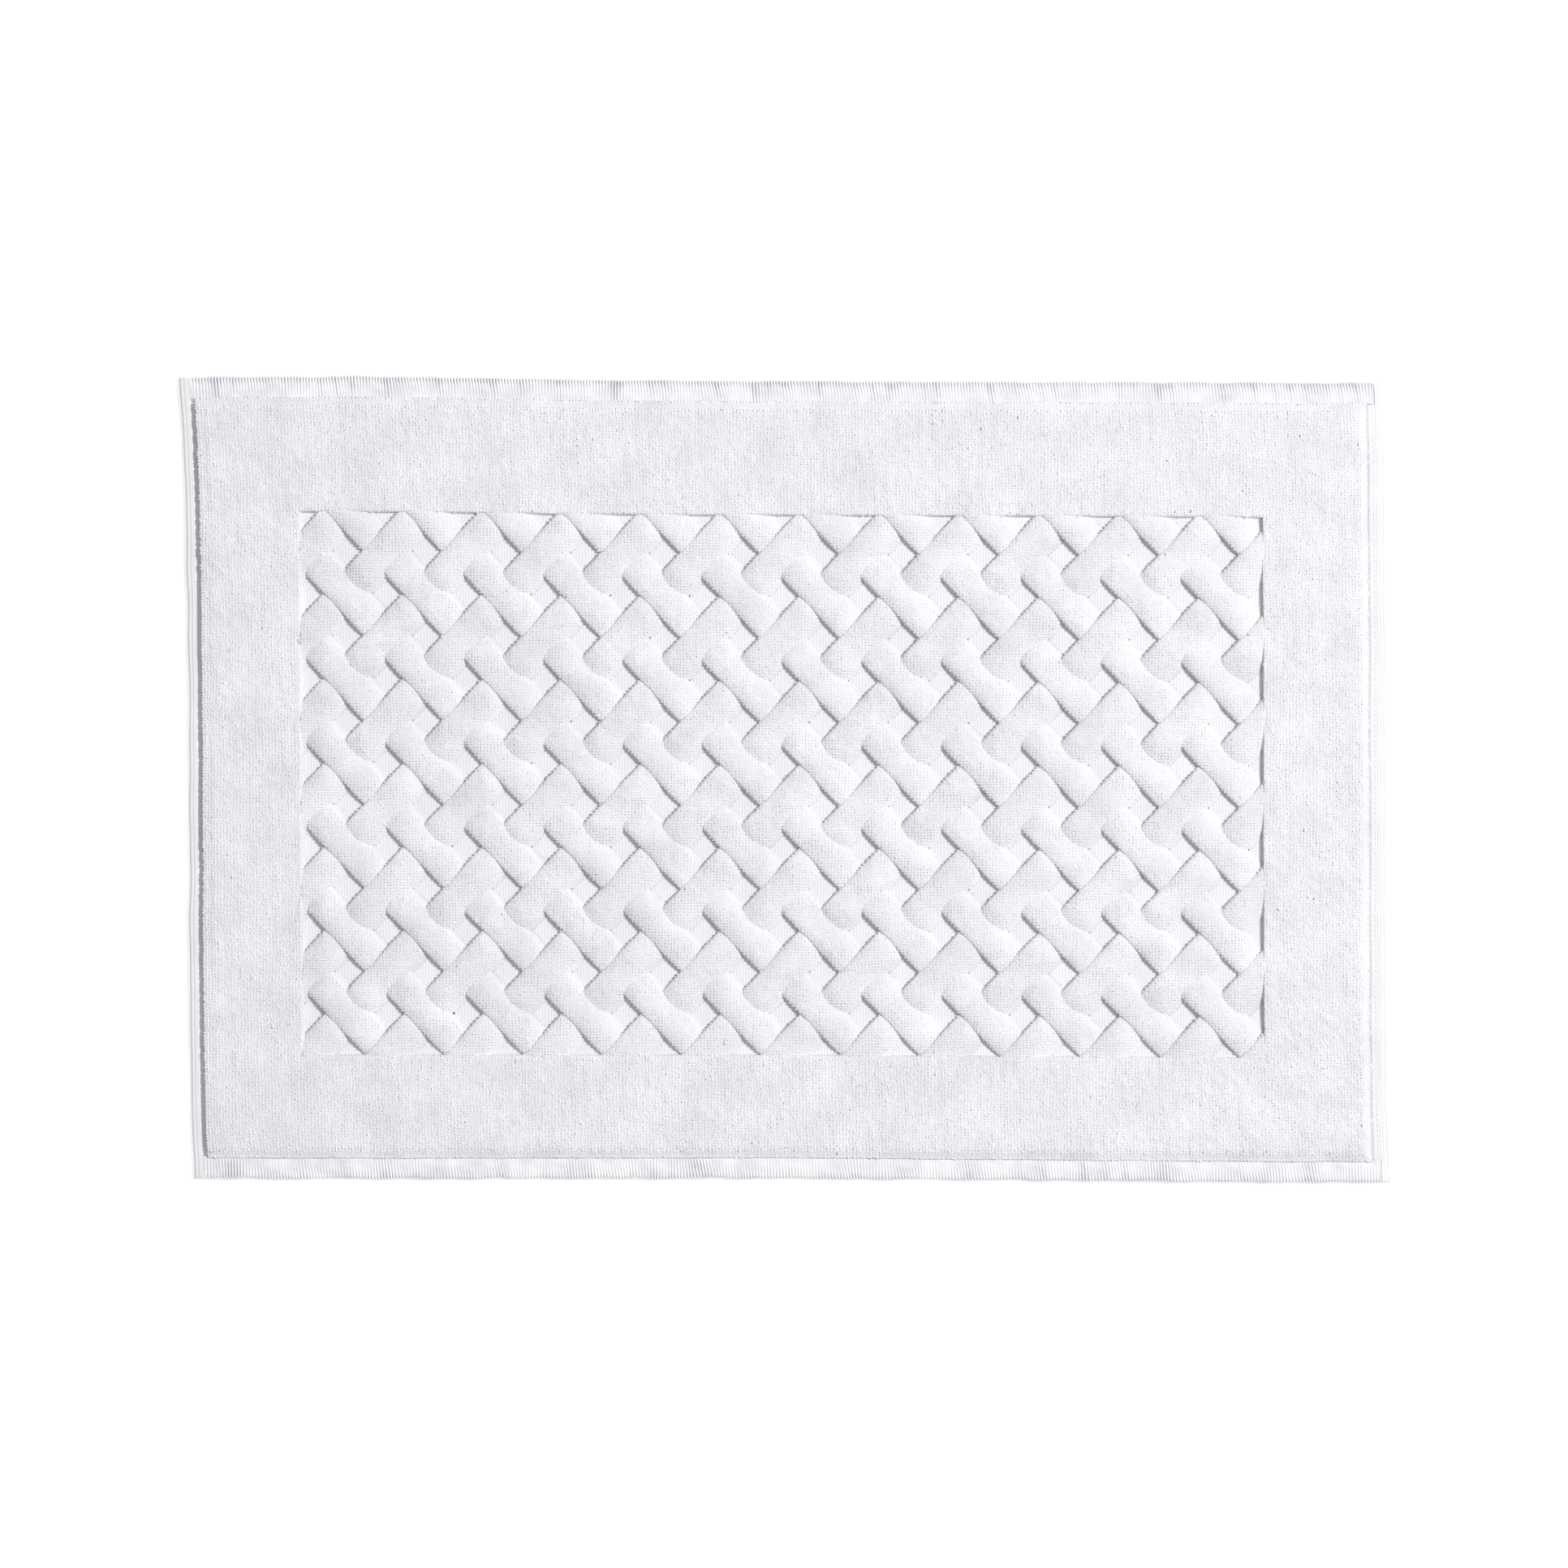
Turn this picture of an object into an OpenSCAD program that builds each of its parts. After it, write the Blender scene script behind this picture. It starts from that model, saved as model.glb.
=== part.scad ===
// Terry bath mat with a basket weave in raised pile.
// X runs along the long side and Y along the short side. Z = 0 is the floor.
// The origin is the middle of the footprint.

/* [Mat] */
// Finished length, along X
mat_length = 750; // [680:5:850]
// Finished width, along Y
mat_width = 500; // [450:5:600]
// Plain pile between the left hem and the woven field
border_left = 59.5; // [40:0.5:80]
// Plain pile between the right hem and the woven field
border_right = 65.5; // [40:0.5:80]
// Plain pile between the top hem and the woven field
border_top = 69.5; // [40:0.5:80]
// Plain pile between the bottom hem and the woven field
border_bottom = 63.5; // [40:0.5:80]

/* [Cloth] */
// Height of the short loops on the underside
back_pile_h = 2; // [1:0.1:3]
// Thickness of the woven ground that holds both piles
ground_thick = 1; // [0.6:0.1:1.4]
// Height of the loops on the face
face_pile_h = 4; // [3:0.1:6]

/* [Basket weave] */
// Cells of the weave along X
cells_x = 12; // [6:1:16]
// Cells of the weave along Y, which may end on a half cell
cells_y = 6.5; // [3.5:0.5:9.5]
// Width of a strand as a share of the spacing between strands
strand_share = 0.58; // [0.4:0.01:0.75]
// How far the strands stand above the plain border
strand_rise = 0.6; // [0.1:0.1:1.5]
// How far the field runs past the outermost crossings on the left
field_margin_left = 2.8; // [1:0.1:4]
// How far the field runs past the outermost crossings on the right
field_margin_right = 1.8; // [1:0.1:4]
// How far the field stops short of the outermost crossings at the top
field_margin_top = -1.8; // [-3:0.1:-1]
// How far the field runs past the outermost crossings at the bottom
field_margin_bottom = 0.7; // [0.5:0.1:3]

/* [Hems] */
// Width of each side hem, from the outer fold to the pile
side_hem_w = 12; // [10:0.5:16]
// Width of the turned part of a side hem, which is three layers thick
side_turn_w = 7; // [5:0.5:8]
// Width of each end hem, from the outer fold to the pile
end_hem_w = 14; // [10:0.5:20]

/* [Stitching] */
// Distance from one stitch to the next
stitch_pitch = 5; // [4:0.5:8]
// Bare cloth between two stitches
stitch_gap = 1; // [0.8:0.1:2]
// Width of the sewing thread
thread_w = 0.6; // [0.4:0.1:1]
// Height of a stitch above the cloth
thread_h = 0.3; // [0.2:0.05:0.6]

/* [Hidden] */
$fn = 32;

// Heights: the back pile stands on the floor, then the ground, then the face pile
ground_z = back_pile_h;
face_z = ground_z + ground_thick;

// Hems: cloth turned twice, so three layers, held off the floor by the stitches
hem_layers = 3;
hem_thick = hem_layers * ground_thick;
hem_z = thread_h;
// The turned edge reaches under the flat band, past the line of stitches
turned_under_w = side_turn_w + 2 * thread_w + 0.4;
side_seam_inset = side_turn_w + thread_w / 2 + 0.2;
end_seam_inset = end_hem_w - thread_w / 2 - 0.7;

// Outline of the cloth inside the hems, as [low, high] along X and Y
cloth_x = (mat_length / 2 - side_hem_w) * [-1, 1];
cloth_y = (mat_width / 2 - end_hem_w) * [-1, 1];

// Outline of the woven field
field_x = [cloth_x[0] + border_left, cloth_x[1] - border_right];
field_y = [cloth_y[0] + border_bottom, cloth_y[1] - border_top];

// Half a cell each way: the step between neighbouring crossings
half_x = (field_x[1] - field_x[0] - field_margin_left - field_margin_right) / cells_x / 2;
half_y = (field_y[1] - field_y[0] - field_margin_top - field_margin_bottom) / cells_y / 2;
// Top left crossing
first_x = field_x[0] + field_margin_left;
first_y = field_y[1] - field_margin_top;

// A block between two limits along X and along Y, standing on z
module block(x, y, z, height)
    translate([x[0], y[0], z]) cube([x[1] - x[0], y[1] - y[0], height]);

// Short loops under the whole cloth
module back_pile() color("whitesmoke")
    block(cloth_x, cloth_y, 0, back_pile_h);

// Flat ground weave, bare in the gaps of the basket weave
module ground_cloth() color("gainsboro")
    block(cloth_x, cloth_y, ground_z, ground_thick);

// Plain frame of face loops round the field
module border_pile() color("white")
    difference() {
        block(cloth_x, cloth_y, face_z, face_pile_h);
        block(field_x, field_y, face_z - 1, face_pile_h + 2);
    }

// Point a steps along the rising strands and b steps along the falling ones
function strand_point(a, b) = [(a + b) * half_x, (a - b) * half_y];

// One raised length of strand, centred on its crossing. Its sides and ends run
// along the two strand directions, so neighbours meet face to face.
module strand_bar(reach_a, reach_b)
    linear_extrude(face_pile_h + strand_rise)
        polygon([for (s = [[-1, -1], [1, -1], [1, 1], [-1, 1]])
            strand_point(s.x * reach_a, s.y * reach_b)]);

// All bars of one direction. Crossings lie on every second point of the half
// cell grid: the rising strand is on top on odd rows, the falling one on even rows.
module strands(rising) {
    half_w = strand_share / 2;
    half_l = 1 - half_w;
    intersection() {
        block(field_x, field_y, face_z, face_pile_h + strand_rise);
        for (row = [-1:2 * cells_y + 1], column = [-1:2 * cells_x + 1])
            if ((row + column + 2) % 2 == 1 && (abs(row) % 2 == 1) == rising)
                translate([first_x + column * half_x, first_y - row * half_y, face_z])
                    if (rising) strand_bar(half_l, half_w);
                    else strand_bar(half_w, half_l);
    }
}

module rising_strands() color("snow") strands(true);

module falling_strands() color("ghostwhite") strands(false);

// Section of a side hem: u runs inwards from the outer fold, v up from the floor
module side_hem_section() {
    fold_r = hem_thick / 2;
    translate([fold_r, hem_z + fold_r]) circle(fold_r);
    polygon([
        [fold_r, hem_z], [turned_under_w, hem_z], [turned_under_w, ground_z],
        [side_hem_w, ground_z], [side_hem_w, face_z], [side_turn_w, face_z],
        [side_turn_w, hem_z + hem_thick], [fold_r, hem_z + hem_thick]
    ]);
}

// Left side hem. The turned part runs to both corners and the flat band stops
// at the end hems.
module side_hem()
    difference() {
        translate([-mat_length / 2, mat_width / 2, 0]) rotate([90, 0, 0])
            linear_extrude(mat_width) side_hem_section();
        for (side = [-1, 1])
            translate([-mat_length / 2 + side_turn_w,
                       side * mat_width / 2 - end_hem_w, -1])
                cube([side_hem_w, 2 * end_hem_w, 2 * hem_thick + 2]);
    }

module left_side_hem() color("white") side_hem();

module right_side_hem() color("white") mirror([1, 0, 0]) side_hem();

// Top end hem, between the turned parts of the side hems
module end_hem() {
    fold_r = hem_thick / 2;
    reach = mat_length / 2 - side_turn_w;
    translate([-reach, 0, 0]) rotate([90, 0, 90]) linear_extrude(2 * reach) {
        translate([mat_width / 2 - fold_r, hem_z + fold_r]) circle(fold_r);
        translate([mat_width / 2 - end_hem_w, hem_z])
            square([end_hem_w - fold_r, hem_thick]);
    }
}

module top_end_hem() color("white") end_hem();

module bottom_end_hem() color("white") mirror([0, 1, 0]) end_hem();

// A row of lock stitches along X, centred on the origin, lying on top of z = 0
module stitch_row(length) {
    count = floor(length / stitch_pitch);
    for (k = [0:count - 1])
        translate([(k - (count - 1) / 2) * stitch_pitch, 0, thread_h / 2])
            cube([stitch_pitch - stitch_gap, thread_w, thread_h], center = true);
}

// Needle thread on the face of the hem and bobbin thread on its underside
module seam(length, top_z) {
    translate([0, 0, top_z]) stitch_row(length);
    stitch_row(length);
}

// Seam of the left side hem, in the step beside its turned part
module side_seam()
    translate([-mat_length / 2 + side_seam_inset, 0, 0]) rotate([0, 0, 90])
        seam(mat_width - 2 * end_hem_w, face_z);

module left_side_seam() color("lavender") side_seam();

module right_side_seam() color("lavender") mirror([1, 0, 0]) side_seam();

// Seam of the top end hem, close to the pile
module end_seam()
    translate([0, mat_width / 2 - end_seam_inset, 0])
        seam(mat_length - 2 * side_turn_w, hem_z + hem_thick);

module top_end_seam() color("lavender") end_seam();

module bottom_end_seam() color("lavender") mirror([0, 1, 0]) end_seam();

back_pile();
ground_cloth();
border_pile();
rising_strands();
falling_strands();
left_side_hem();
right_side_hem();
top_end_hem();
bottom_end_hem();
left_side_seam();
right_side_seam();
top_end_seam();
bottom_end_seam();
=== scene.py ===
import math

import bmesh
import bpy
import numpy as np
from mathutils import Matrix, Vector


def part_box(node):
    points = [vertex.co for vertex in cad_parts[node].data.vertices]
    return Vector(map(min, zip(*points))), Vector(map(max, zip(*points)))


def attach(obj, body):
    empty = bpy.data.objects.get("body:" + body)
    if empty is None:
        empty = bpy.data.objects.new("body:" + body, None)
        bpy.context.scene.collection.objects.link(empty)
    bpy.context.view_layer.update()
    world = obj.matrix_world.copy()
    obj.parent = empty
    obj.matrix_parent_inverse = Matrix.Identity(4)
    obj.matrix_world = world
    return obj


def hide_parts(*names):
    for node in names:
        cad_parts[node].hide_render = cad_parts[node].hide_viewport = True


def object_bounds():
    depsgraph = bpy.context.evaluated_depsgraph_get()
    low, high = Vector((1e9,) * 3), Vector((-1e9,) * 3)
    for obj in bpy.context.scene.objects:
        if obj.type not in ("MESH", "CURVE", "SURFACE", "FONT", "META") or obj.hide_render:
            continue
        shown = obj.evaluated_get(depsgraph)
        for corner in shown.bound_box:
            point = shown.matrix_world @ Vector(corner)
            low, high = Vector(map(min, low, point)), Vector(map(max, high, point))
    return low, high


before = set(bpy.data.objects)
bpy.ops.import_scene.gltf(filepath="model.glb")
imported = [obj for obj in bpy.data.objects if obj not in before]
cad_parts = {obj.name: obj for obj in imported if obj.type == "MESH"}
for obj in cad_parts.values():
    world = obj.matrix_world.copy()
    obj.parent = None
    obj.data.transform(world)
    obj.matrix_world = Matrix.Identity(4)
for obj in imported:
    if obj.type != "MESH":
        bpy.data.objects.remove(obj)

# A heavy white terry bath mat lying on a pale floor: one woven cloth with loops on both faces,
# a basket weave in raised pile in its middle, and flat hems on all four sides.
# X is the long side, Y the short side, Z up from the floor, all in metres.

mm = 0.001
low, high = 0, 1
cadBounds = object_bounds()
downward = -0.97             # normal z below which a face counts as an underside


def boxOf(node):
    # lowest and highest corner of a node as one array of two rows
    return np.array([list(corner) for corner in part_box(node)])


matBox = np.array([list(corner) for corner in cadBounds])
clothBox = boxOf("ground_cloth")
pileBox = boxOf("border_pile")
fieldBox = boxOf("rising_strands")
sideHemBox = boxOf("left_side_hem")
endHemBox = boxOf("top_end_hem")

groundTop = clothBox[high, 2]
halfMat = np.ptp(matBox, axis=0)[:2] / 2

# the basket weave: cells of one weave repeat, and how far the field runs past the crossings
weave = dict(
    cellsAcross=12,
    cellsDown=6.5,
    marginLeft=2.8 * mm, marginRight=1.8 * mm, marginTop=-1.8 * mm, marginBottom=0.7 * mm,
    strandShare=0.58,        # width of a strand over the spacing of the strands
    # where a strand is highest, from -1 at one side to 1 at the other, and its drop from there
    # to the two sides: the pile leans to the lower right on the rising strands and to the upper
    # right on the falling ones
    risingApex=-0.15, risingSteep=1.1 * mm, risingGentle=2.0 * mm,
    fallingApex=-0.3, fallingSteep=1.1 * mm, fallingGentle=2.2 * mm,
    shoulder=0.8 * mm,       # height of the rounded corner at the steep side
    shoulderPower=8,         # the higher, the tighter that corner
    skirtStart=0.88, skirtEnd=1.32,   # from and to where the gentle side runs out on the ground
    dipStart=0.48,           # share of a cell where a strand starts to dive under
    dip=4.2 * mm,            # how deep it has dived at the next crossing
    blend=14 * mm,           # how far in from the border the strands reach full height
    bare=0.3 * mm,           # pile lower than this isn't there
)
halfX = (np.ptp(fieldBox[:, 0]) - weave["marginLeft"] - weave["marginRight"]) / (
    2 * weave["cellsAcross"])
halfY = (np.ptp(fieldBox[:, 1]) - weave["marginTop"] - weave["marginBottom"]) / (
    2 * weave["cellsDown"])
firstX = fieldBox[low, 0] + weave["marginLeft"]
firstY = fieldBox[high, 1] - weave["marginTop"]
borderHeight = pileBox[high, 2] - groundTop
fullHeight = fieldBox[high, 2] - groundTop
halfWide = weave["strandShare"] / 2


def softNoise(x, y, size, seed, waves=9):
    # a sum of cosines in seeded directions, each about one wave per size, from about -1 to 1
    rng = np.random.default_rng(seed)
    angle = rng.uniform(0, 2 * math.pi, waves)
    pitch = 2 * math.pi / size * rng.uniform(0.6, 1.5, waves)
    phase = rng.uniform(0, 2 * math.pi, waves)
    total = np.zeros(np.broadcast(x, y).shape)
    for a, k, p in zip(angle, pitch, phase):
        total = total + np.cos(k * (x * math.cos(a) + y * math.sin(a)) + p)
    return total / math.sqrt(waves * 2)


def smoothStep(t):
    # 3t^2 - 2t^3 on t held from 0 to 1
    t = np.clip(t, 0, 1)
    return t * t * (3 - 2 * t)


# how the limp mat lies: its edges aren't quite straight or square, and it isn't quite flat
lie = dict(
    leftSlant=1.5 * mm, leftCorner=3.3 * mm,     # slope of the edge, and flare at its corners
    rightSlant=0.5 * mm, rightCorner=2.2 * mm,
    leftBow=1.0 * mm, bowDip=1.4,                # the left edge bows inwards halfway down
    bowReach=0.1,                                # and that fades over this share of half the mat
    stretch=0.75 * mm,                           # shifts the middle left and both ends right
    turn=1.35 * mm,
    sag=0.7 * mm, sagWave=0.9,                   # shifts the middle down and both ends up
    topBow=2.0 * mm, topBowAt=-0.72, topBowWidth=0.3,
    bottomBow=1.2 * mm, bottomBowWidth=0.45,
    ripple=0.25 * mm, rippleSize=60 * mm,
    lift=0.9 * mm, liftSize=150 * mm,
)


def layDown(points):
    # s and t run from -1 to 1 over the mat. x is shifted by slants and fifth powers of t near the
    # two sides and by a bow on the left, y by a slight turn and bows, and z lifted by a soft
    # noise that never goes below 0.
    x, y = points[:, 0], points[:, 1]
    s, t = x / halfMat[0], y / halfMat[1]
    nearLeft, nearRight = ((1 - s) / 2) ** 2, ((1 + s) / 2) ** 2
    nearTop, nearBottom = ((1 + t) / 2) ** 2, ((1 - t) / 2) ** 2
    dx = -nearLeft * (lie["leftSlant"] * t + lie["leftCorner"] * t ** 5)
    dx = dx + lie["leftBow"] * (1 - lie["bowDip"] * t ** 2) * np.exp(-(1 + s) / lie["bowReach"])
    dx = dx - nearRight * (lie["rightSlant"] * t + lie["rightCorner"] * t ** 5)
    dx = dx - lie["stretch"] * np.cos(math.pi * s)
    dy = -lie["turn"] * s - lie["sag"] * np.cos(math.pi * lie["sagWave"] * t)
    dy = dy + nearTop * lie["topBow"] * np.exp(-((s - lie["topBowAt"]) / lie["topBowWidth"]) ** 2)
    dy = dy + nearBottom * lie["bottomBow"] * np.exp(-(s / lie["bottomBowWidth"]) ** 2)
    dx = dx + lie["ripple"] * softNoise(x, y, lie["rippleSize"], 3)
    dy = dy + lie["ripple"] * softNoise(x, y, lie["rippleSize"], 4)
    dz = lie["lift"] * np.clip(0.5 + 0.5 * softNoise(x, y, lie["liftSize"], 5), 0, None)
    return points + np.stack([dx, dy, dz], 1)


def gridQuads(rows, columns, wrapRows=False, wrapColumns=False):
    # quads between neighbours of a rows x columns grid of points, numbered row by row
    i = np.arange(rows if wrapRows else rows - 1)[:, None]
    j = np.arange(columns if wrapColumns else columns - 1)[None, :]
    i2, j2 = (i + 1) % rows, (j + 1) % columns
    corners = [i * columns + j, i * columns + j2, i2 * columns + j2, i2 * columns + j]
    return np.stack(np.broadcast_arrays(*corners), -1).reshape(-1, 4)


def shadeSoftly(mesh):
    # smooth shading, but flat on faces that look straight down and on closing polygons, so that
    # the walls beside them aren't shaded as if they turned under
    normals = np.empty(len(mesh.polygons) * 3)
    mesh.polygons.foreach_get("normal", normals)
    corners = np.empty(len(mesh.polygons), np.int32)
    mesh.polygons.foreach_get("loop_total", corners)
    mesh.polygons.foreach_set("use_smooth", (normals[2::3] > downward) & (corners < 5))
    mesh.update()


def finishPiece(mesh, nodes, material):
    # shade the mesh, make it an object and hide the CAD nodes it stands for
    shadeSoftly(mesh)
    mesh.materials.append(material)
    piece = bpy.data.objects.new(mesh.name, mesh)
    bpy.context.scene.collection.objects.link(piece)
    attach(piece, "root")
    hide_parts(*nodes)
    print(f"{mesh.name}: {len(mesh.vertices)} points, {len(mesh.polygons)} faces")
    return piece


def makePiece(name, points, quads, nodes, material, capRings=()):
    # a mesh piece from an array of points, an array of quads and any closing polygons
    points = layDown(np.asarray(points, float).reshape(-1, 3))
    sizes = np.full(len(quads), 4)
    corners = np.asarray(quads).ravel()
    for ring in capRings:
        sizes = np.append(sizes, len(ring))
        corners = np.append(corners, ring)
    mesh = bpy.data.meshes.new(name)
    mesh.vertices.add(len(points))
    mesh.vertices.foreach_set("co", points.ravel())
    mesh.loops.add(len(corners))
    mesh.loops.foreach_set("vertex_index", corners.astype(np.int32))
    mesh.polygons.add(len(sizes))
    starts = np.concatenate([[0], np.cumsum(sizes)[:-1]])
    mesh.polygons.foreach_set("loop_start", starts.astype(np.int32))
    mesh.update(calc_edges=True)
    mesh.validate()
    return finishPiece(mesh, nodes, material)


def fromHex(code):
    # sRGB hex to linear: c / 12.92 below 0.04045, else ((c + 0.055) / 1.055) ^ 2.4
    channels = [int(code[k:k + 2], 16) / 255 for k in (1, 3, 5)]
    return [c / 12.92 if c <= 0.04045 else ((c + 0.055) / 1.055) ** 2.4 for c in channels] + [1]


def addNode(tree, kind, settings=None, **inputs):
    # a node with its settings, and each input either linked to a socket or set to a value
    node = tree.nodes.new(kind)
    for key, value in (settings or {}).items():
        setattr(node, key, value)
    for key, value in inputs.items():
        socket = node.inputs[int(key[1:]) if key[1:].isdigit() else key.replace("_", " ")]
        if isinstance(value, bpy.types.NodeSocket):
            tree.links.new(value, socket)
        else:
            socket.default_value = value
    return node


# on the loop pile the patches are painted shade of pile that leans one way or another
patchContrast = 1.5          # how strongly the patches show beside the threads
roughSpread = 0.06           # roughness of single threads, either way


def clothMaterial(name, look):
    # two close whites mixed by a soft patch noise and a fine thread noise, and a bump of the
    # thread noise plus, where the look has one, a rib pattern along X or Y. As the thread noise is
    # also the bump's height, the colour is darker in the bump's hollows: painted shade between
    # the yarns
    material = bpy.data.materials.new(name)
    material.use_nodes = True
    tree = material.node_tree
    shader = tree.nodes["Principled BSDF"]
    place = addNode(tree, "ShaderNodeTexCoord").outputs["Object"]
    patch = addNode(tree, "ShaderNodeTexNoise", {"noise_dimensions": "3D"}, Vector=place,
                    Scale=1 / look["patch"], Detail=2.0, Roughness=0.5).outputs[0]
    thread = addNode(tree, "ShaderNodeTexNoise", {"noise_dimensions": "3D"}, Vector=place,
                     Scale=1 / look["thread"], Detail=2.0, Roughness=0.6).outputs[0]
    blend = addNode(tree, "ShaderNodeMath", {"operation": "MULTIPLY_ADD"},
                    _0=patch, _1=patchContrast, _2=-patchContrast / 2).outputs[0]
    # the thread noise, the bump's own height, lightens the colour on the bumps and darkens it in
    # their hollows: painted shade
    blend = addNode(tree, "ShaderNodeMath", {"operation": "ADD"}, _0=blend, _1=thread).outputs[0]
    height = thread
    if "rib" in look:
        ribs = addNode(tree, "ShaderNodeTexWave",
                       {"wave_type": "BANDS", "bands_direction": look["ribAxis"]},
                       Vector=place, Scale=math.pi / 10 / look["rib"], Distortion=0.6,
                       Detail=1.0, Detail_Scale=2.0).outputs[1]
        height = addNode(tree, "ShaderNodeMath", {"operation": "MULTIPLY_ADD"},
                         _0=ribs, _1=1.2, _2=thread).outputs[0]
    colour = addNode(tree, "ShaderNodeMix", {"data_type": "RGBA"},
                     _0=blend, _6=fromHex(look["shade"]), _7=fromHex(look["light"])).outputs[2]
    bump = addNode(tree, "ShaderNodeBump", None, Strength=look["bump"],
                   Distance=look["bumpDepth"], Height=height).outputs[0]
    rough = addNode(tree, "ShaderNodeMapRange", None, Value=thread,
                    To_Min=look["rough"] - roughSpread,
                    To_Max=look["rough"] + roughSpread).outputs[0]
    tree.links.new(colour, shader.inputs["Base Color"])
    tree.links.new(bump, shader.inputs["Normal"])
    tree.links.new(rough, shader.inputs["Roughness"])
    shader.inputs["IOR"].default_value = 1.5
    shader.inputs["Specular IOR Level"].default_value = look["specular"]
    shader.inputs["Sheen Weight"].default_value = look["sheen"]
    shader.inputs["Sheen Roughness"].default_value = 0.6
    return material


# Cotton terry loop pile: uncut loops of soft two-ply yarn, which scatter light and have no gloss.
# The thread noise stands for the ply of the yarn, about 0.5 mm, and the patches are painted
# shade for pile that leans one way or another after washing.
loopPile = clothMaterial("cotton terry loop pile", dict(
    light="#fbfafe", shade="#e1e0e6", patch=9 * mm, thread=0.5 * mm,
    bump=0.6, bumpDepth=0.15 * mm, rough=0.92, specular=0.2, sheen=0.15))

# Cotton terry pile bed: the tangle of yarn between the loops, painted a little greyer as shade
# for lying deep down between them.
pileBed = clothMaterial("cotton terry pile bed", dict(
    light="#f3f2f6", shade="#dddce2", patch=25 * mm, thread=0.9 * mm,
    bump=1.0, bumpDepth=0.8 * mm, rough=0.95, specular=0.1, sheen=0.1))

# Cotton ground weave: flat warp ribs 1.9 mm apart, crossed by fine weft every 0.6 mm.
groundWeave = clothMaterial("cotton ground weave", dict(
    light="#efeef3", shade="#e3e2e8", patch=30 * mm, thread=0.6 * mm,
    rib=0.6 * mm, ribAxis="Y", bump=0.5, bumpDepth=0.12 * mm,
    rough=0.9, specular=0.2, sheen=0.1))

# Cotton selvedge tape: dense weave with fine lines 0.7 mm apart along the edge.
selvedgeTape = clothMaterial("cotton selvedge tape", dict(
    light="#eeedf0", shade="#e3e2e5", patch=25 * mm, thread=0.5 * mm,
    rib=0.7 * mm, ribAxis="X", bump=0.4, bumpDepth=0.12 * mm,
    rough=0.88, specular=0.25, sheen=0.1))

# Cotton ribbed end band: warp ribs run across the hem, crossed by fine weft every 0.6 mm.
ribbedBand = clothMaterial("cotton ribbed band", dict(
    light="#f7f6fa", shade="#d8d7dc", patch=14 * mm, thread=0.5 * mm,
    rib=0.6 * mm, ribAxis="Y", bump=0.4, bumpDepth=0.12 * mm,
    rough=0.88, specular=0.25, sheen=0.1))

# Spun polyester sewing thread: finer and a little shinier than the cloth.
sewingThread = clothMaterial("spun polyester sewing thread", dict(
    light="#efeff2", shade="#e4e4e8", patch=20 * mm, thread=0.25 * mm,
    bump=0.4, bumpDepth=0.05 * mm, rough=0.6, specular=0.4, sheen=0.05))


# the hills and hollows of the pile, with enough fine waves to look the same in all directions
swell = dict(rise=0.15 * mm, size=9 * mm, waves=30, broadRise=0.2 * mm, broadSize=40 * mm)


def pileSwell(x, y):
    # slight hills and hollows of the pile: one fine soft noise plus one broad one
    return (swell["rise"] * softNoise(x, y, swell["size"], 7, swell["waves"])
            + swell["broadRise"] * softNoise(x, y, swell["broadSize"], 8))


def strandHeight(x, y, along, side, way):
    # Height of a strand over the ground. Its top is the border's at the edge of the field and
    # its own further in, by a smooth step. From that come off a dive that grows with the square
    # of the distance along it, a crown that grows with the square of the distance from its
    # highest line, and a rounded shoulder; and its gentle side fades out to nothing.
    inward = np.minimum(np.minimum(x - fieldBox[low, 0], fieldBox[high, 0] - x),
                        np.minimum(y - fieldBox[low, 1], fieldBox[high, 1] - y))
    top = borderHeight + (fullHeight - borderHeight) * smoothStep(inward / weave["blend"])
    apex = weave[way + "Apex"]
    dive = np.clip((along - weave["dipStart"]) / (1 - weave["dipStart"]), 0, 1) ** 2
    crown = np.where(side > apex, weave[way + "Gentle"] * ((side - apex) / (1 - apex)) ** 2,
                     weave[way + "Steep"] * ((side - apex) / (1 + apex)) ** 2)
    bend = 1 - np.sqrt(1 - np.clip(-side, 0, 1) ** weave["shoulderPower"])
    fade = smoothStep((weave["skirtEnd"] - side) / (weave["skirtEnd"] - weave["skirtStart"]))
    height = (top + pileSwell(x, y) - weave["dip"] * dive - crown
              - weave["shoulder"] * bend) * fade
    return np.where((side > -1) & (side < weave["skirtEnd"]), height, -1.0)


def strandHeights(x, y):
    # Lattice steps: a counts along the rising strands and b along the falling ones, with a
    # crossing at every half number. The rising strand lies on top where the whole parts of a
    # and b differ by an odd number.
    i = (x - firstX) / halfX
    j = (firstY - y) / halfY
    a, b = (i - j) / 2, (i + j) / 2
    risingOver = (np.floor(b) - np.floor(a)).astype(int) % 2 == 1
    a, b = a - np.floor(a) - 0.5, b - np.floor(b) - 0.5
    rising = strandHeight(x, y, np.where(risingOver, np.abs(a), 1 - np.abs(a)),
                          b / halfWide, "rising")
    falling = strandHeight(x, y, np.where(risingOver, 1 - np.abs(b), np.abs(b)),
                           a / halfWide, "falling")
    return rising, falling


border = dict(
    # how far the pile rounds down towards each hem, and over what width
    leftFall=0.4 * mm, rightFall=2.2 * mm, topFall=2.6 * mm, bottomFall=1.9 * mm,
    outerWidth=5 * mm,
    innerFall=0.2 * mm, innerWidth=1.6 * mm,   # the same at the edge of the woven field
    # over what width it runs out inside the field; on the right it stops at the field's edge
    leftSkirt=1.4 * mm, bottomSkirt=1.0 * mm, topSkirt=1.0 * mm,
)


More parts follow.
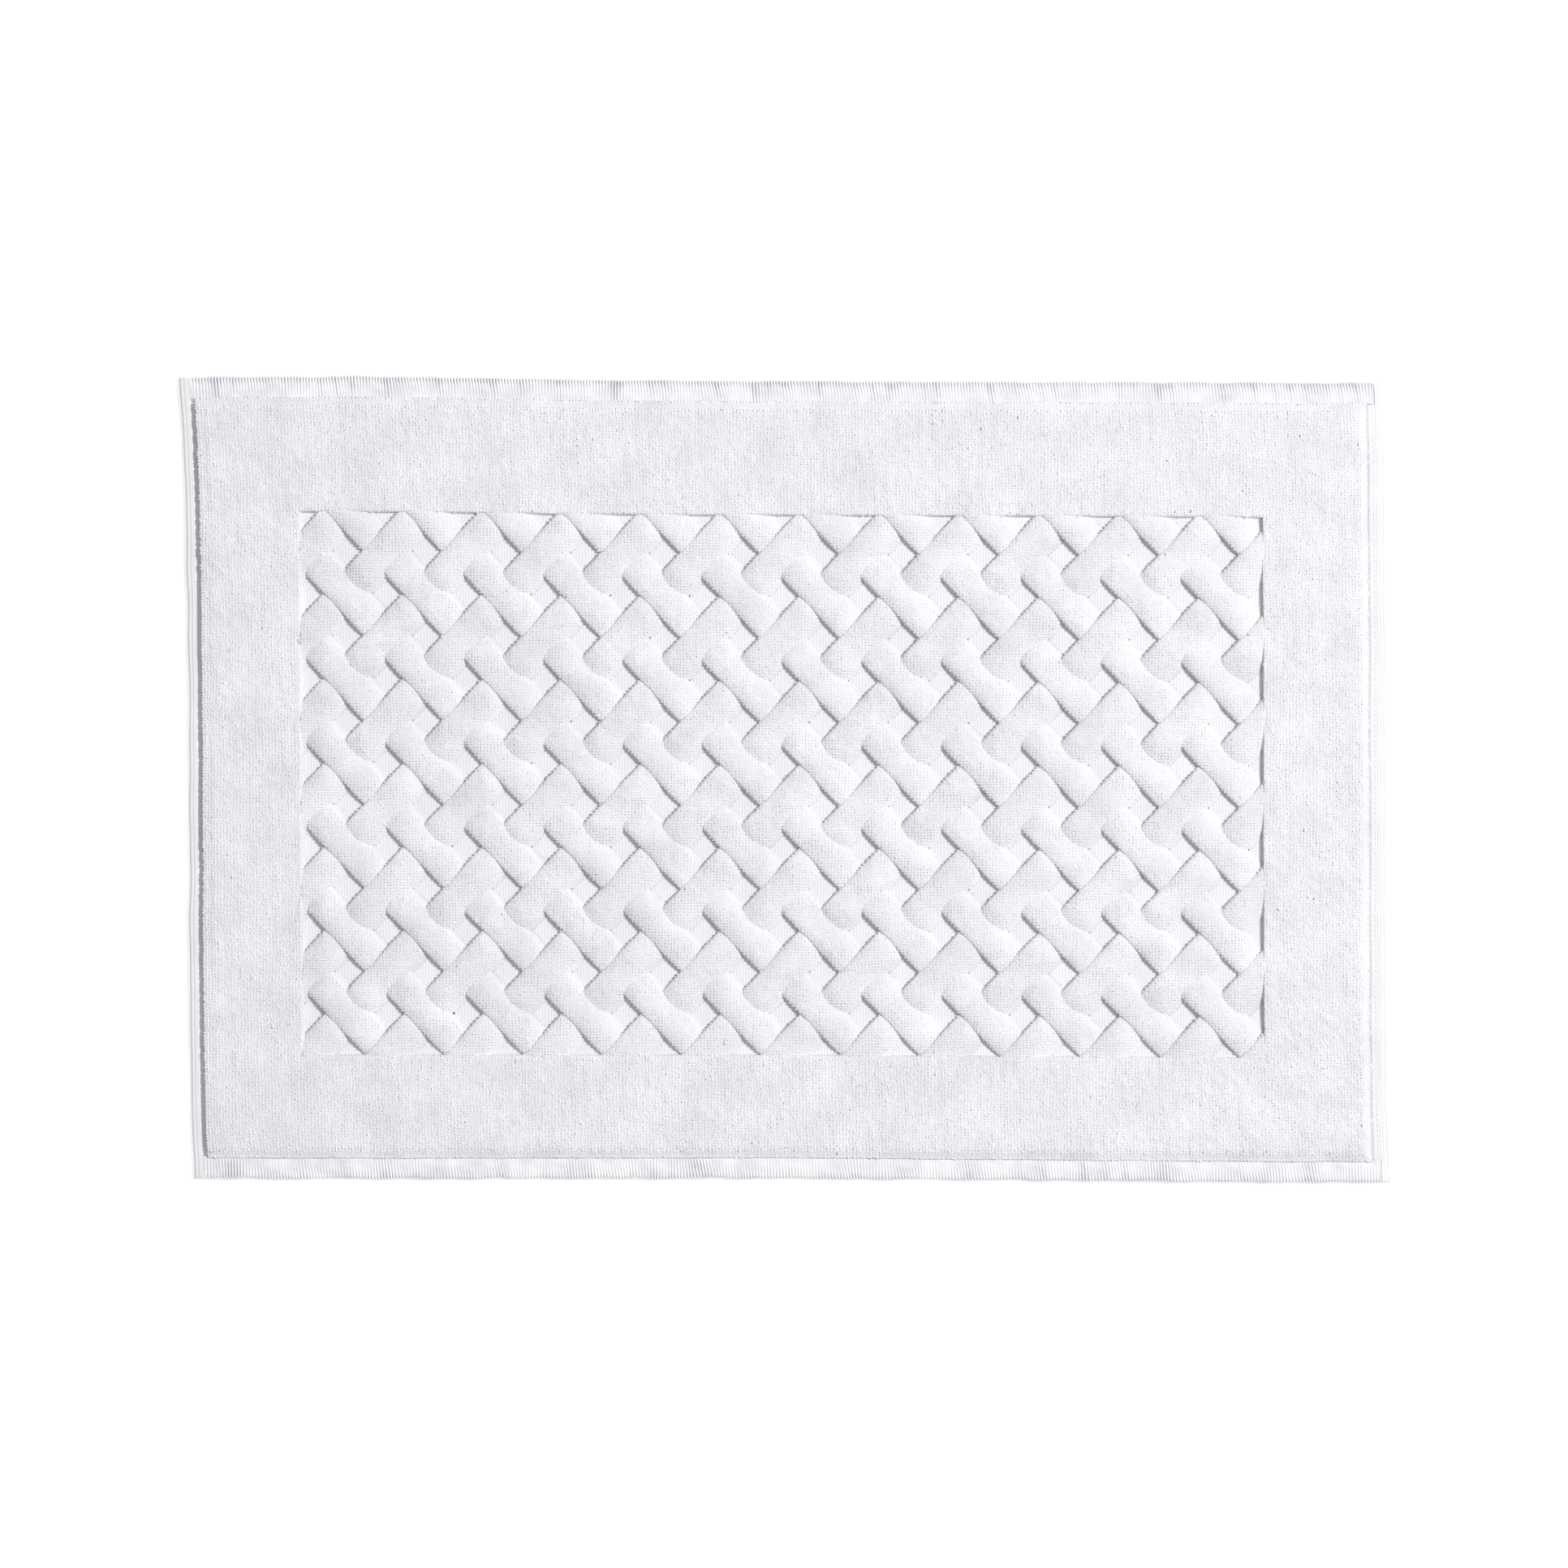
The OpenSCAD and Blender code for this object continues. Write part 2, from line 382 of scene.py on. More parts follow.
def frameHeight(x, y):
    # Height of the border over the ground: its full height less a smooth rounding at each hem
    # and at the field. Inside the field it fades out along the left, bottom and top edges.
    fall = np.maximum.reduce([
        border[side + "Fall"] * (1 - smoothStep(room / border["outerWidth"]))
        for side, room in (("left", x - pileBox[low, 0]), ("right", pileBox[high, 0] - x),
                           ("bottom", y - pileBox[low, 1]), ("top", pileBox[high, 1] - y))])
    outside = np.maximum(np.maximum(fieldBox[low, 0] - x, x - fieldBox[high, 0]),
                         np.maximum(fieldBox[low, 1] - y, y - fieldBox[high, 1]))
    rounding = border["innerFall"] * (1 - smoothStep(outside / border["innerWidth"]))
    share = np.maximum.reduce([
        1 - smoothStep((x - fieldBox[low, 0]) / border["leftSkirt"]),
        1 - smoothStep((y - fieldBox[low, 1]) / border["bottomSkirt"]),
        1 - smoothStep((fieldBox[high, 1] - y) / border["topSkirt"]),
        x > fieldBox[high, 0] - 0.001 * mm])
    return (borderHeight - fall - rounding + pileSwell(x, y)) * share


def pileHeight(x, y):
    # height of the pile over the ground, and what stands there: 0 nothing, 1 the border,
    # 2 a rising strand, 3 a falling strand
    inField = ((x > fieldBox[low, 0]) & (x < fieldBox[high, 0])
               & (y > fieldBox[low, 1]) & (y < fieldBox[high, 1]))
    rising, falling = strandHeights(x, y)
    frameTop = frameHeight(x, y)
    strands = np.where(inField, np.maximum(rising, falling), -1.0)
    height = np.maximum(frameTop, strands)
    kind = np.where(strands > frameTop, np.where(rising >= falling, 2, 3), 1)
    return height, np.where(height < weave["bare"], 0, kind)


loop = dict(
    columnPitch=2.05 * mm,   # across the mat, a little wider than the real 1.9 mm
    rowPitch=1.8 * mm,       # up the mat
    leftStart=3.3 * mm, beyond=2 * mm,   # how far past the pile's box the columns and rows begin
    wanderX=0.35 * mm, wanderY=0.25 * mm, wanderSize=50 * mm,
    yarn=0.58 * mm,          # radius of the yarn
    spread=0.85 * mm,        # how far its two feet stand from its middle
    leg=2.2 * mm,            # height of the loop
    smallest=0.9, largest=1.12,
    # chance: place, height and lean of each loop, lean of whole patches, height and lean of tufts
    jitter=0.13 * mm, heightJitter=0.08 * mm, leanJitter=0.12,
    patchLean=0.2, patchSize=25 * mm,
    tuftRise=0.17 * mm, tuftLean=0.22, tuftSize=5 * mm, tuftWaves=30,
    strandShare=0.5,         # how much of the chance is left on the neater strands
    slopeLean=0.55,          # share of the pile's own slope that its loops lean out by
    slopeStep=0.6 * mm, mostSlope=1.2,
    mostLean=0.8,            # no loop leans further, or its feet would show
    borderTurn=0.4, strandTurn=0.12,     # spread of the twist about the pile's grain, in radians
    leftTurn=-0.6, leftTurnSpread=0.3,   # twist of the outermost loops on the left
    leftEdge=1.5 * mm,                   # and how far out they begin
    strays=0.002, strayLean=2.0, strayRise=0.5 * mm,   # a few pulled loops
    most=0.3 * mm,           # no loop stands further above the strands' full height
    # how far the loops along each edge lean out over the hem, and how soon that fades inwards
    leftLean=0.8, rightLean=0.35, topLean=0.5, bottomLean=0.15, edgeReach=2.2 * mm,
    # how far the pile spreads past its woven edge on each side, how much that wanders, and how
    # long the tufts of that wandering are
    leftSpread=4.0 * mm, rightSpread=0.7 * mm, topSpread=1.8 * mm, bottomSpread=0.8 * mm,
    ragged=0.6 * mm, raggedSize=6 * mm, raggedRoom=0.3 * mm,
)


def loopTemplate():
    # A bent yarn like an upside-down V: rings of four points at the two feet and at the bend,
    # each about square to the yarn there. The bend's top is at height 0, the feet at minus the leg.
    r = loop["yarn"]
    line = np.array([[-loop["spread"], -loop["leg"]], [0, -r], [loop["spread"], -loop["leg"]]])
    outward = np.array([[-0.88, 0.48], [0.0, 1.0], [0.88, 0.48]])   # outer side of each ring
    angle = np.arange(4) * math.pi / 2
    out = r * np.cos(angle)
    rings = np.zeros((3, 4, 3))
    rings[:, :, 0] = line[:, :1] + outward[:, :1] * out
    rings[:, :, 1] = r * np.sin(angle)
    rings[:, :, 2] = line[:, 1:] + outward[:, 1:] * out
    return rings.reshape(-1, 3), gridQuads(3, 4, wrapColumns=True)


def placeCopies(template, quads, spots, turn, lean, size):
    # every copy of the template is scaled, turned about its own height, tipped so that its
    # height follows the direction (lean x, lean y, 1) and moved to its spot
    up = np.concatenate([lean, np.ones((len(lean), 1))], 1)
    up /= np.linalg.norm(up, axis=1)[:, None]
    grain = np.stack([np.cos(turn), np.sin(turn), np.zeros(len(turn))], 1)
    first = grain - up * (grain * up).sum(1)[:, None]
    first /= np.linalg.norm(first, axis=1)[:, None]
    second = np.cross(up, first)
    axes = np.stack([first, second, up], 1) * size[:, None, None]
    points = np.einsum("pk,nkc->npc", template, axes) + spots[:, None]
    faces = quads[None] + (np.arange(len(spots)) * len(template))[:, None, None]
    return points.reshape(-1, 3), faces.reshape(-1, 4)


def plantLoops():
    # Loops stand in woven rows and columns that wander slightly. Each one is tipped by the slope
    # of the pile under it, by slow and fine noises over the mat, by a little chance, and outwards
    # near the hems by an amount that dies away exponentially from the edge.
    rng = np.random.default_rng(11)
    beyond = loop["beyond"]
    columns = np.arange(pileBox[low, 0] - loop["leftStart"], pileBox[high, 0] + beyond,
                        loop["columnPitch"])
    rows = np.arange(pileBox[low, 1] - beyond, pileBox[high, 1] + beyond, loop["rowPitch"])
    x, y = (grid.ravel() for grid in np.meshgrid(columns, rows))
    neat = np.where(pileHeight(x, y)[1] > 1, loop["strandShare"], 1.0)
    x = x + loop["wanderX"] * softNoise(x, y, loop["wanderSize"], 21)
    x = x + rng.normal(0, loop["jitter"], len(x)) * neat
    y = y + loop["wanderY"] * softNoise(x, y, loop["wanderSize"], 22)
    y = y + rng.normal(0, loop["jitter"], len(y)) * neat
    height, kind = pileHeight(x, y)
    step = loop["slopeStep"]
    slopeX = (pileHeight(x + step, y)[0] - pileHeight(x - step, y)[0]) / (2 * step)
    slopeY = (pileHeight(x, y + step)[0] - pileHeight(x, y - step)[0]) / (2 * step)
    slope = np.clip(np.stack([slopeX, slopeY], 1), -loop["mostSlope"], loop["mostSlope"])
    lean = rng.normal(0, loop["leanJitter"], (len(x), 2)) * neat[:, None]
    lean -= loop["slopeLean"] * slope
    for axis in (0, 1):
        lean[:, axis] += loop["patchLean"] * softNoise(x, y, loop["patchSize"], 23 + axis)
        lean[:, axis] += loop["tuftLean"] * neat * softNoise(x, y, loop["tuftSize"], 25 + axis,
                                                             loop["tuftWaves"])
    lean[:, 0] -= loop["leftLean"] * np.exp((pileBox[low, 0] - x) / loop["edgeReach"])
    lean[:, 0] += loop["rightLean"] * np.exp((x - pileBox[high, 0]) / loop["edgeReach"])
    lean[:, 1] -= loop["bottomLean"] * np.exp((pileBox[low, 1] - y) / loop["edgeReach"])
    lean[:, 1] += loop["topLean"] * np.exp((y - pileBox[high, 1]) / loop["edgeReach"])
    turn = np.where(kind == 1, math.pi / 2 + rng.normal(0, loop["borderTurn"], len(x)),
                    rng.normal(0, loop["strandTurn"], len(x)))
    edgeRow = x < pileBox[low, 0] - loop["leftEdge"]
    turn[edgeRow] = loop["leftTurn"] + loop["leftTurnSpread"] * (turn[edgeRow] - math.pi / 2)
    stray = rng.random(len(x)) < loop["strays"]
    lean[stray] *= loop["strayLean"]
    lean *= np.minimum(1, loop["mostLean"] / np.hypot(*lean.T))[:, None]
    height = height + rng.normal(0, loop["heightJitter"], len(x)) + stray * loop["strayRise"]
    height = height + loop["tuftRise"] * neat * softNoise(x, y, loop["tuftSize"], 28,
                                                          loop["tuftWaves"])
    size = rng.uniform(loop["smallest"], loop["largest"], len(x))
    spots = np.stack([x, y, groundTop + np.minimum(height, fullHeight + loop["most"])], 1)
    ragged = loop["ragged"] * softNoise(x, y, loop["raggedSize"], 27)
    room = np.minimum.reduce([
        x - pileBox[low, 0] + loop["leftSpread"], pileBox[high, 0] - x + loop["rightSpread"],
        y - pileBox[low, 1] + loop["bottomSpread"], pileBox[high, 1] - y + loop["topSpread"]])
    stands = (kind > 0) & (room > loop["raggedRoom"] + ragged)
    return spots[stands], turn[stands], lean[stands], size[stands], kind[stands]


def makeLoops():
    # the border's loops as four pieces, one for each quarter, and each way's strands as three
    template, quads = loopTemplate()
    spots, turn, lean, size, kind = plantLoops()
    middle = clothBox.mean(0)
    right, upper = spots[:, 0] > middle[0], spots[:, 1] > middle[1]
    third = np.digitize(spots[:, 0], np.linspace(*fieldBox[:, 0], 4)[1:3])
    groups = [("border_loops_top_left", (kind == 1) & ~right & upper, "border_pile"),
              ("border_loops_top_right", (kind == 1) & right & upper, "border_pile"),
              ("border_loops_bottom_left", (kind == 1) & ~right & ~upper, "border_pile"),
              ("border_loops_bottom_right", (kind == 1) & right & ~upper, "border_pile")]
    for k, part in enumerate(("left", "middle", "right")):
        groups.append((f"rising_loops_{part}", (kind == 2) & (third == k), "rising_strands"))
        groups.append((f"falling_loops_{part}", (kind == 3) & (third == k), "falling_strands"))
    made = []
    for name, chosen, node in groups:
        points, faces = placeCopies(template, quads, spots[chosen], turn[chosen],
                                    lean[chosen], size[chosen])
        made.append(makePiece(name, points, faces, [node], loopPile))
    return made


# the closed cushions of yarn under the tips of the loops
bed = dict(
    depth=0.68 * mm, strandDepth=0.74 * mm,   # how far below the tips, on border and strands
    least=0.1 * mm,          # height over the ground where the pile runs out
    inset=0.45 * mm,         # how far the steep walls stand in from the edge of the pile
    foot=0.15 * mm,          # how far they reach down into the ground cloth
    alongPoints=25, acrossPoints=13,
    overlap=0.19,            # how far a strand's bed runs on under the next one, in lattice steps
    shortOfSkirt=0.002,      # it ends just short of where the skirt runs out
    reach=2.0 * mm,          # how far the strands' beds run into the border's
    # how far the border's bed stands in from the pile's outline, or below 0 spreads out over it
    left=-2.7 * mm, right=-0.4 * mm, top=-1.0 * mm, bottom=-0.8 * mm,
    rimDrop=0.25 * mm,       # rounds the top of its outer wall
    perSide=400,             # points along each side of the border's bed
)


def makeStrandBed(way):
    # One cushion for each crossing where this strand lies on top: a grid over its length and
    # width, spaced by sines so that it is finest at the edges, at the height of the pile less the
    # bed's depth. Its rim goes down to the ground and a flat polygon closes it below.
    p = np.sin(np.linspace(-1, 1, bed["alongPoints"]) * math.pi / 2)
    q = np.sin(np.linspace(-1, 1, bed["acrossPoints"]) * math.pi / 2)
    halfLong = 1 - halfWide + bed["overlap"]
    spacing = 2 * halfX * halfY / math.hypot(halfX, halfY)
    steepSide = bed["inset"] / (spacing * halfWide) - 1
    along, side = np.meshgrid(p, q, indexing="ij")
    rim = (np.abs(along) > 0.9999) | (np.abs(side) > 0.9999)
    along = along * halfLong
    side = steepSide + (side + 1) / 2 * (weave["skirtEnd"] - bed["shortOfSkirt"] - steepSide)
    across = side * halfWide
    a, b = (along, across) if way == "rising" else (across, along)
    dx, dy = (a + b) * halfX, (a - b) * halfY
    quads = gridQuads(*along.shape)
    count = along.size
    edge = np.concatenate([np.arange(bed["acrossPoints"]),
                           np.arange(2, bed["alongPoints"]) * bed["acrossPoints"] - 1,
                           count - 1 - np.arange(bed["acrossPoints"]),
                           np.arange(bed["alongPoints"] - 2, 0, -1) * bed["acrossPoints"]])
    whole = bmesh.new()
    for row in range(-1, int(2 * weave["cellsDown"]) + 2):
        for column in range(-1, 2 * weave["cellsAcross"] + 2):
            if (row + column) % 2 == 0 or (row % 2 == 1) != (way == "rising"):
                continue
            x = firstX + column * halfX + dx
            y = firstY - row * halfY + dy
            inside = ((x > fieldBox[low, 0]) & (x < fieldBox[high, 0])
                      & (y > fieldBox[low, 1]) & (y < fieldBox[high, 1]))
            if not inside.any():
                continue
            height = strandHeight(x, y, np.abs(along), side, way) - bed["strandDepth"]
            z = groundTop + np.maximum(height, bed["least"])
            z = np.where(rim, groundTop - bed["foot"], z)
            verts = [whole.verts.new(point) for point in np.stack([x, y, z], -1).reshape(-1, 3)]
            for quad in quads:
                whole.faces.new([verts[k] for k in quad])
            whole.faces.new([verts[k] for k in edge[::-1]])
    for axis in (0, 1):
        for end, sign in ((low, -1), (high, 1)):
            normal = [0.0, 0.0, 0.0]
            normal[axis] = sign
            cut = bmesh.ops.bisect_plane(
                whole, geom=whole.verts[:] + whole.edges[:] + whole.faces[:], dist=1e-7,
                plane_co=(*(fieldBox[end, :2] + sign * bed["reach"]), 0), plane_no=normal,
                clear_outer=True)["geom_cut"]
            bmesh.ops.holes_fill(
                whole, edges=[e for e in cut if isinstance(e, bmesh.types.BMEdge)], sides=0)
    bmesh.ops.triangulate(whole, faces=[f for f in whole.faces if len(f.verts) > 4])
    bmesh.ops.recalc_face_normals(whole, faces=whole.faces[:])
    mesh = bpy.data.meshes.new(way + "_bed")
    whole.to_mesh(mesh)
    whole.free()
    points = np.empty(len(mesh.vertices) * 3)
    mesh.vertices.foreach_get("co", points)
    mesh.vertices.foreach_set("co", layDown(points.reshape(-1, 3)).ravel())
    mesh.update()
    return finishPiece(mesh, [way + "_strands"], pileBed)


def makeBorderBed():
    # A closed ring round the field: a section carried round a rectangular path. Each point is
    # mixed between the outer outline (share 0) and the field's outline (share 1), and stands at
    # the height of the pile less the bed's depth.
    t = np.linspace(0, 1, bed["perSide"], endpoint=False)
    unit = np.concatenate([np.stack([t, 0 * t], 1), np.stack([1 + 0 * t, t], 1),
                           np.stack([1 - t, 1 + 0 * t], 1), np.stack([0 * t, 1 - t], 1)])
    first = pileBox[low, :2] + np.array([bed["left"], bed["bottom"]])
    last = pileBox[high, :2] - np.array([bed["right"], bed["top"]])
    outer = first + unit * (last - first)
    first = fieldBox[low, :2] + np.array([border["leftSkirt"], border["bottomSkirt"]])
    last = fieldBox[high, :2] - np.array([0, border["topSkirt"]])
    inner = first + unit * (last - first)
    share = np.concatenate([[0, 0, 0.004], np.linspace(0.015, 0.92, 20),
                            np.linspace(0.93, 1, 12), [1]])
    path = outer[:, None] * (1 - share[None, :, None]) + inner[:, None] * share[None, :, None]
    height = frameHeight(*np.moveaxis(path, 2, 0)) - bed["depth"]
    z = groundTop + np.maximum(height, bed["least"])
    z[:, 1] -= bed["rimDrop"]
    z[:, [0, -1]] = groundTop - bed["foot"]
    points = np.concatenate([path, z[..., None]], 2)
    quads = gridQuads(len(unit), len(share), wrapRows=True, wrapColumns=True)
    return makePiece("border_bed", points, quads, ["border_pile"], pileBed)


# the warp ribs run up the mat, and a few rows of points are enough to follow the lie
ground = dict(ribPitch=1.88 * mm, ribDepth=0.22 * mm, perRib=4, rows=14)


def makeGround():
    # The ground cloth's face is ribbed along Y: its height is the cloth's top less a squared sine
    # across X with one wave for each warp rib. Its underside is flat.
    count = int(np.ptp(clothBox[:, 0]) / ground["ribPitch"]) * ground["perRib"] + 1
    x = np.linspace(*clothBox[:, 0], count)
    y = np.linspace(*clothBox[:, 1], ground["rows"])
    rib = ground["ribDepth"] * np.sin(math.pi * np.arange(count) / ground["perRib"]) ** 2
    gridX, gridY = np.meshgrid(x, y)
    top = np.stack([gridX, gridY, np.broadcast_to(groundTop - rib, gridX.shape)], -1)
    under = np.stack([np.tile(x, 2), np.repeat(clothBox[:, 1], count),
                      np.full(2 * count, clothBox[low, 2])], -1)
    points = np.concatenate([top.reshape(-1, 3), under])
    rows, size = ground["rows"], ground["rows"] * count
    column = np.arange(count - 1)
    below = size + column
    beyond = size + count + column
    back = (rows - 1) * count + column
    quads = np.concatenate([
        gridQuads(rows, count),
        np.stack([beyond, beyond + 1, below + 1, below], 1),       # underside
        np.stack([below, below + 1, column + 1, column], 1),       # front edge
        np.stack([back, back + 1, beyond + 1, beyond], 1)])        # back edge
    edgeRows = np.arange(rows) * count
    leftRing = np.concatenate([edgeRows, [size + count, size]])
    rightRing = np.concatenate([(edgeRows + count - 1)[::-1],
                                [size + count - 1, size + 2 * count - 1]])
    return makePiece("ground_weave", points, quads, ["ground_cloth"],
                     groundWeave, capRings=[leftRing, rightRing])


# coarser than the pile on the face, as it lies on the floor
backPile = dict(pitchX=3.5 * mm, pitchY=3.3 * mm, bump=0.55 * mm, chequerShare=0.6,
                jitter=0.25 * mm, overlap=0.1 * mm)


def makeBackPile():
    # Short loops on the underside, as a grid whose points go down by a seeded chance and a
    # chequer, to the floor at the lowest, with walls up to the ground cloth.
    rng = np.random.default_rng(31)
    box = boxOf("back_pile")
    across = int(np.ptp(box[:, 0]) / backPile["pitchX"])
    down = int(np.ptp(box[:, 1]) / backPile["pitchY"])
    inset = bed["inset"]
    x = np.linspace(box[low, 0] + inset, box[high, 0] - inset, across)
    y = np.linspace(box[low, 1] + inset, box[high, 1] - inset, down)
    gridX, gridY = np.meshgrid(x, y)
    chequer = np.add.outer(np.arange(down), np.arange(across)) % 2
    even = backPile["chequerShare"]
    z = backPile["bump"] * (even * chequer + (1 - even) * rng.random(gridX.shape))
    edge = np.zeros(z.shape, bool)
    edge[[0, -1]] = True
    edge[:, [0, -1]] = True
    gridX = gridX + np.where(edge, 0, rng.normal(0, backPile["jitter"], z.shape))
    gridY = gridY + np.where(edge, 0, rng.normal(0, backPile["jitter"], z.shape))
    under = np.stack([gridX, gridY, z], -1).reshape(-1, 3)
    ring = np.concatenate([np.arange(across), np.arange(2, down) * across - 1,
                           across * down - 1 - np.arange(across),
                           np.arange(down - 2, 0, -1) * across])
    upper = under[ring].copy()
    upper[:, 2] = clothBox[low, 2] + backPile["overlap"]
    count = across * down
    wall = np.arange(len(ring))
    following = (wall + 1) % len(ring)
    quads = np.concatenate([
        gridQuads(down, across)[:, ::-1],
        np.stack([ring[wall], ring[following], count + following, count + wall], 1)])
    # the back pile wears the bed's cloth, with its painted shade
    return makePiece("back_pile_loops", np.concatenate([under, upper]), quads,
                     ["back_pile"], pileBed, capRings=[count + np.arange(len(ring))])


endHem = dict(
    ribPitch=1.88 * mm, perRib=4, ribDepth=0.09 * mm,
    # the ribs are deeper at the fold, and in spots along the hem
    topFoldDepth=0.68 * mm, bottomFoldDepth=0.45 * mm, foldReach=5.0 * mm,
    spotDepth=0.55 * mm, spotStart=0.05, spotSize=12 * mm, spotAtFold=0.5,
    puff=0.35 * mm,                                   # how far the band bulges up in its middle
    slant=0.07, slantChange=0.1, slantSize=45 * mm,   # of the ribs, in x over y
    pucker=0.22 * mm, puckerSize=16 * mm, puckerStretch=2.5,
    waver=0.35 * mm, waverSize=30 * mm,               # of the fold, in and out
    cornerFade=12 * mm,              # slant, pucker and waver die away towards the corners
)


def hemRing(width, thick, roundPoints=9, flatPoints=9):
    # section of a folded hem, from its inner end along the underside, round the outer fold and
    # back along the top: (distance in from the fold, height over its underside, outward normal)
    r = thick / 2
    flatV = np.linspace(width, r, flatPoints)
    angle = np.linspace(-math.pi / 2, -3 * math.pi / 2, roundPoints + 2)[1:-1]
    v = np.concatenate([flatV, r + r * np.cos(angle), flatV[::-1]])
    z = np.concatenate([0 * flatV, r + r * np.sin(angle), 0 * flatV + thick])
    nv = np.concatenate([0 * flatV, np.cos(angle), 0 * flatV])
    nz = np.concatenate([0 * flatV - 1, np.sin(angle), 0 * flatV + 1])
    return v, z, nv, nz


def makeEndHem(top):
    # The band's section carried along X. Its points go in and out along their normals by a
    # cosine with one wave for each warp rib, deepest at the fold, and slide along X with the
    # distance from the fold, so that the ribs slant. A soft noise puckers it.
    name, node = ("top_hem_band", "top_end_hem") if top else ("bottom_hem_band", "bottom_end_hem")
    box = boxOf(node)
    seed = 41 if top else 51
    width, thick = np.ptp(box[:, 1]), np.ptp(box[:, 2])
    v, z, nv, nz = hemRing(width, thick)
    ribs = int(np.ptp(box[:, 0]) / endHem["ribPitch"])
    count = ribs * endHem["perRib"] + 1
    x = np.linspace(*box[:, 0], count)
    wave = np.cos(2 * math.pi * np.arange(count) / endHem["perRib"])
    spots = endHem["spotDepth"] * np.clip(
        softNoise(x, 0 * x, endHem["spotSize"], seed) - endHem["spotStart"], 0, 1)
    fold = np.exp(-(v / endHem["foldReach"]) ** 2)
    foldDepth = endHem["topFoldDepth" if top else "bottomFoldDepth"]
    depth = (endHem["ribDepth"] + spots[:, None] * (1 - endHem["spotAtFold"] * fold)
             + foldDepth * fold)
    push = wave[:, None] * depth * (v < width - 0.001 * mm)
    upper = smoothStep((z - thick / 2) / (thick / 2))
    fade = smoothStep((box[high, 0] - np.abs(x)) / endHem["cornerFade"])
    slant = endHem["slant"] + endHem["slantChange"] * softNoise(
        x, 0 * x, endHem["slantSize"], seed + 1)
    sign = 1 if top else -1
    slide = sign * (slant * fade)[:, None] * (v[None] - width / 2)
    pucker = endHem["pucker"] * softNoise(
        x[:, None], endHem["puckerStretch"] * v[None], endHem["puckerSize"], seed + 2)
    puff = (endHem["puff"] * np.sin(math.pi * v / width))[None] + pucker * fade[:, None]
    waver = (endHem["waver"] * softNoise(x, 0 * x, endHem["waverSize"], seed + 3)
             * fade)[:, None] * np.clip(1 - v / width, 0, 1)[None]
    side = box[high, 1] if top else -box[low, 1]
    pointY = side - (v[None] + nv[None] * push + waver)
    pointZ = box[low, 2] + z[None] + nz[None] * push + upper[None] * puff
    pointX = x[:, None] + slide
    points = np.stack(np.broadcast_arrays(pointX, sign * pointY, pointZ), -1)
    ring = len(v)
    quads = gridQuads(count, ring, wrapColumns=True)
    caps = [np.arange(ring)[::-1], (count - 1) * ring + np.arange(ring)]
    if not top:
        quads = quads[:, ::-1]
        caps = [cap[::-1] for cap in caps]
    return makePiece(name, points, quads, [node], ribbedBand, capRings=caps)


sideHem = dict(
    leftTurn=5.6 * mm, rightTurn=6.0 * mm,       # width of the turned part, seen from above
    underWidth=8.6 * mm,                         # and below, where it reaches past the seam
    ridge=0.12 * mm, ridgePoints=13,             # height of its two soft ridges
    leftGroove=1.3 * mm, rightGroove=0.1 * mm,   # how far the seam pulls the cloth down
    droop=0.13,                                  # slope of the turned part down to its fold
    rowPitch=2.0 * mm,
    endRound=1.3 * mm, endThick=0.25,            # the rounding at its two ends
    waver=0.35 * mm, waverSize=35 * mm, pucker=0.18 * mm, puckerSize=22 * mm,
)


